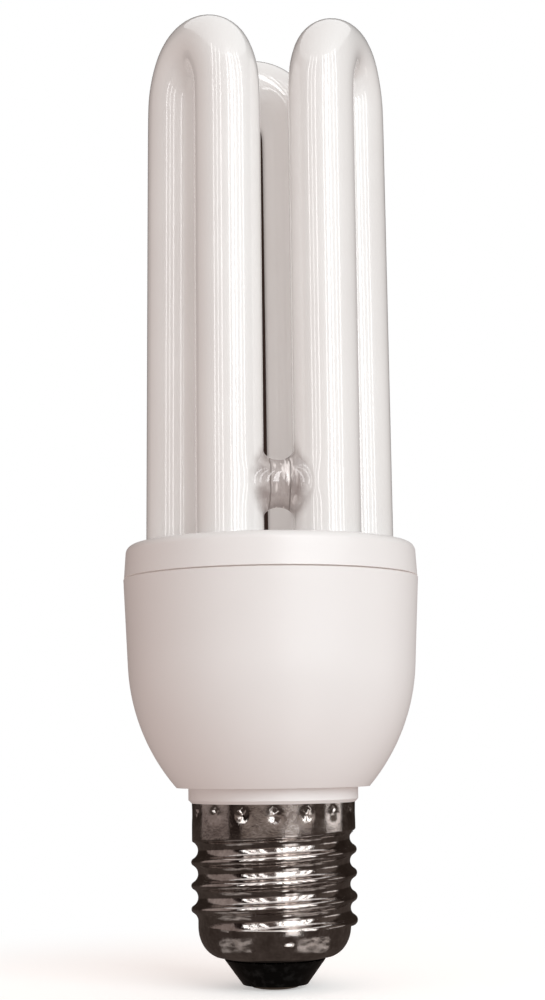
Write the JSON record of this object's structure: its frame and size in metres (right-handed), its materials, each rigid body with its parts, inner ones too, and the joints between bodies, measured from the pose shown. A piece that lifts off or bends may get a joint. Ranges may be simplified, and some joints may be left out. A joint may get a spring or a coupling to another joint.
{
  "type": "compact fluorescent lamp",
  "caption": "Compact fluorescent lamp: U-bent glass tubes joined by bridges, a two-part plastic ballast housing, and a 27 mm Edison screw cap.",
  "frame": {"origin": "on the lamp's axis, at the underside of the centre contact", "axes": "+Z along the lamp's axis from the screw cap towards the tubes, -Y towards the side where the visible bridge joins two U tubes"},
  "size_m": [0.0472, 0.0472, 0.1552],
  "materials": {
    "tube_glass": "glossy glass over a white phosphor coat, clear at the bridges",
    "housing_plastic": "satin moulded white",
    "cap_metal": "bright nickel plate",
    "insulator_glass": "black moulded glass",
    "contact_metal": "tinned",
    "cement": "cured cement",
    "board": "phenolic board",
    "tinned_wire": "tinned",
    "wire_sleeve": "insulated",
    "ferrite": "sintered",
    "bobbin_plastic": "moulded",
    "copper": "enamelled",
    "can_sleeve": "shrunk sleeve",
    "film_resin": "dipped resin",
    "component_black": "moulded",
    "component_tan": "lacquered"
  },
  "bodies": {
    "root": {"discharge_tube": "tube_glass", "tube_holder": "housing_plastic", "ballast_housing": "housing_plastic", "screw_shell": "cap_metal", "insulator": "insulator_glass", "centre_contact": "contact_metal", "socket_cement": "cement", "circuit_board": "board", "wrap_pins": "tinned_wire", "electrode_wires": "tinned_wire", "smoothing_capacitor": "can_sleeve", "choke_core": "ferrite", "choke_bobbin": "bobbin_plastic", "choke_winding": "copper", "drive_toroid": "ferrite", "toroid_windings": "copper", "transistor_1": "component_black", "transistor_2": "component_black", "rectifier_diodes": "component_black", "resonance_capacitor": "film_resin", "blocking_capacitor": "film_resin", "filter_choke": "component_black", "fuse_resistor": "component_tan", "base_resistors": "component_tan", "diac": "component_tan", "centre_lead": "wire_sleeve", "side_lead": "tinned_wire"}
  },
  "joints": []
}
